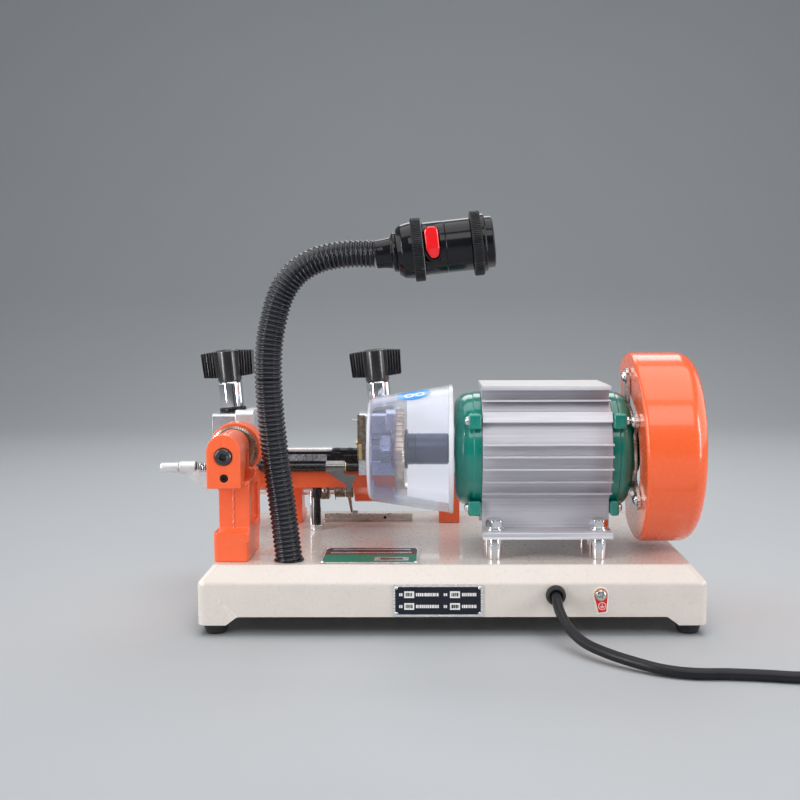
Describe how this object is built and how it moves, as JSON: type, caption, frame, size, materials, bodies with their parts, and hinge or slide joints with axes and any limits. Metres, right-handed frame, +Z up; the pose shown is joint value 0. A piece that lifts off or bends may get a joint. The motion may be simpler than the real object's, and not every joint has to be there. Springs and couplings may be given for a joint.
{
  "type": "key duplicating machine",
  "caption": "Bench key duplicating machine: motor with cutter and wire brush, tracer, sliding twin-vise carriage, clear chip cover and gooseneck lamp holder on a tray base.",
  "frame": {"origin": "centre of the part's whole footprint, cord and plug included, on the floor; the centre of the base tray is at x = -0.038, y = 0.0584", "axes": "+Z up; +X from the tracer towards the motor; +Y towards the operator"},
  "size_m": [0.6, 0.3932, 0.3409],
  "materials": {
    "cream_hammer_paint": "hammered gloss",
    "orange_paint": "gloss",
    "green_paint": "gloss",
    "extruded_aluminium": "as extruded",
    "zinc_plate": "bright zinc plated",
    "ground_steel": "ground",
    "nickel_vise": "satin nickel",
    "black_steel": "blackened",
    "brush_wire": "wire",
    "laminated_core": "varnished",
    "black_rubber": "matte",
    "corrugated_conduit": "satin",
    "gloss_black_plastic": "gloss",
    "black_knob_plastic": "satin",
    "red_plastic": "gloss",
    "clear_plastic": "frosted clear",
    "label_plate": "printed plate"
  },
  "bodies": {
    "base": {"base_housing": "cream_hammer_paint", "foot_rear_left": "black_rubber", "foot_rear_right": "black_rubber", "foot_front_left": "black_rubber", "foot_front_right": "black_rubber", "rating_plate": "label_plate", "title_plate": "label_plate", "cord_grommet": "black_rubber", "power_cord": "black_rubber", "ground_screw": "zinc_plate", "power_switch": "gloss_black_plastic", "motor_housing": "extruded_aluminium", "end_bell_left": "green_paint", "end_bell_right": "green_paint", "stator_core": "laminated_core", "bearing_left": "ground_steel", "bearing_right": "ground_steel", "motor_spacer_1": "zinc_plate", "motor_spacer_2": "zinc_plate", "motor_spacer_3": "zinc_plate", "motor_spacer_4": "zinc_plate", "motor_bolt_1": "zinc_plate", "motor_bolt_2": "zinc_plate", "motor_bolt_3": "zinc_plate", "motor_bolt_4": "zinc_plate", "cutter_cover": "clear_plastic", "brush_guard": "orange_paint", "guard_bracket": "zinc_plate", "tracer_bracket": "orange_paint", "left_support": "orange_paint", "right_support": "orange_paint", "catch_bar": "ground_steel", "stop_post": "black_steel"},
    "rotor": {"motor_shaft": "ground_steel", "cutter_arbor": "black_steel", "cutter_wheel": "ground_steel", "cutter_nut": "ground_steel", "brush_wheel": "brush_wire"},
    "slider": {"carriage_shaft": "ground_steel", "spring_lever": "ground_steel"},
    "carriage": {"carriage_body": "orange_paint", "carriage_bar": "black_steel", "left_vise_base": "nickel_vise", "right_vise_base": "nickel_vise", "carriage_handle": "black_knob_plastic"},
    "left_jaw_lift": {"left_jaw": "nickel_vise"},
    "left_knob": {"left_clamp_knob": "black_knob_plastic"},
    "right_jaw_lift": {"right_jaw": "nickel_vise"},
    "right_knob": {"right_clamp_knob": "black_knob_plastic"},
    "gauge": {"gauge_rod": "ground_steel", "gauge_finger_left": "ground_steel", "gauge_finger_right": "ground_steel"},
    "dial": {"tracer_dial": "ground_steel"},
    "tracer": {"tracer_spindle": "black_steel"},
    "power_rocker": {"switch_rocker": "red_plastic"},
    "hose_base": {"hose_lower": "corrugated_conduit"},
    "hose_top": {"hose_upper": "corrugated_conduit"},
    "lamp": {"lamp_cap": "gloss_black_plastic", "lamp_barrel": "gloss_black_plastic"},
    "lamp_rocker": {"lamp_switch": "red_plastic"}
  },
  "joints": [
    {"name": "rotor_spin", "type": "hinge", "parent": "base", "child": "rotor", "pos_m": [-0.038, 0.0024, 0.142], "axis": [1, 0, 0], "continuous": true},
    {"name": "carriage_slide", "type": "slide", "parent": "base", "child": "slider", "axis": [1, 0, 0], "range_m": [0, 0.038]},
    {"name": "carriage_swing", "type": "hinge", "parent": "slider", "child": "carriage", "pos_m": [-0.143, 0.1264, 0.0875], "axis": [-1, 0, 0], "range_deg": [0, 18]},
    {"name": "left_jaw_slide", "type": "slide", "parent": "carriage", "child": "left_jaw_lift", "axis": [-0.0872, 0, 0.9962], "range_m": [0, 0.003]},
    {"name": "left_knob_turn", "type": "hinge", "parent": "left_jaw_lift", "child": "left_knob", "pos_m": [-0.2362, 0.0634, 0.174], "axis": [-0.0872, 0, 0.9962], "range_deg": [0, 722]},
    {"name": "right_jaw_slide", "type": "slide", "parent": "carriage", "child": "right_jaw_lift", "axis": [-0.0872, 0, 0.9962], "range_m": [0, 0.003]},
    {"name": "right_knob_turn", "type": "hinge", "parent": "right_jaw_lift", "child": "right_knob", "pos_m": [-0.1012, 0.0634, 0.174], "axis": [-0.0872, 0, 0.9962], "range_deg": [0, 722]},
    {"name": "gauge_swing", "type": "hinge", "parent": "carriage", "child": "gauge", "pos_m": [-0.143, 0.0484, 0.12], "axis": [-1, 0, 0], "range_deg": [0, 165]},
    {"name": "dial_turn", "type": "hinge", "parent": "base", "child": "dial", "pos_m": [-0.22, -0.0225, 0.145], "axis": [0, 1, 0], "range_deg": [-720, 720]},
    {"name": "tracer_feed", "type": "slide", "parent": "base", "child": "tracer", "axis": [0, 1, 0], "range_m": [-0.0021, 0.0021]},
    {"name": "power_rocker_tilt", "type": "hinge", "parent": "base", "child": "power_rocker", "pos_m": [0.112, 0.1914, 0.029], "axis": [1, 0, 0], "range_deg": [-16, 0]},
    {"name": "hose_swivel", "type": "hinge", "parent": "base", "child": "hose_base", "pos_m": [-0.1714, -0.0476, 0.056], "axis": [0, 0, 1], "range_deg": [-75, 75]},
    {"name": "hose_bend", "type": "hinge", "parent": "hose_base", "child": "hose_top", "pos_m": [-0.1814, -0.0476, 0.14], "axis": [1, 0, 0], "range_deg": [-30, 20]},
    {"name": "lamp_tilt", "type": "hinge", "parent": "hose_top", "child": "lamp", "pos_m": [-0.09672, -0.0476, 0.30611], "axis": [0, 1, 0], "range_deg": [-20, 40]},
    {"name": "lamp_rocker_tilt", "type": "hinge", "parent": "lamp", "child": "lamp_rocker", "pos_m": [-0.05237, -0.0631, 0.31404], "axis": [0.9944, 0, 0.1061], "range_deg": [0, 8]}
  ],
  "couplings": [
    {"joint": "left_knob_turn", "follows": "left_jaw_slide", "rad_per_m": 4188.8},
    {"joint": "right_knob_turn", "follows": "right_jaw_slide", "rad_per_m": 4188.8},
    {"joint": "tracer_feed", "follows": "dial_turn", "m_per_rad": 0.00015915}
  ]
}
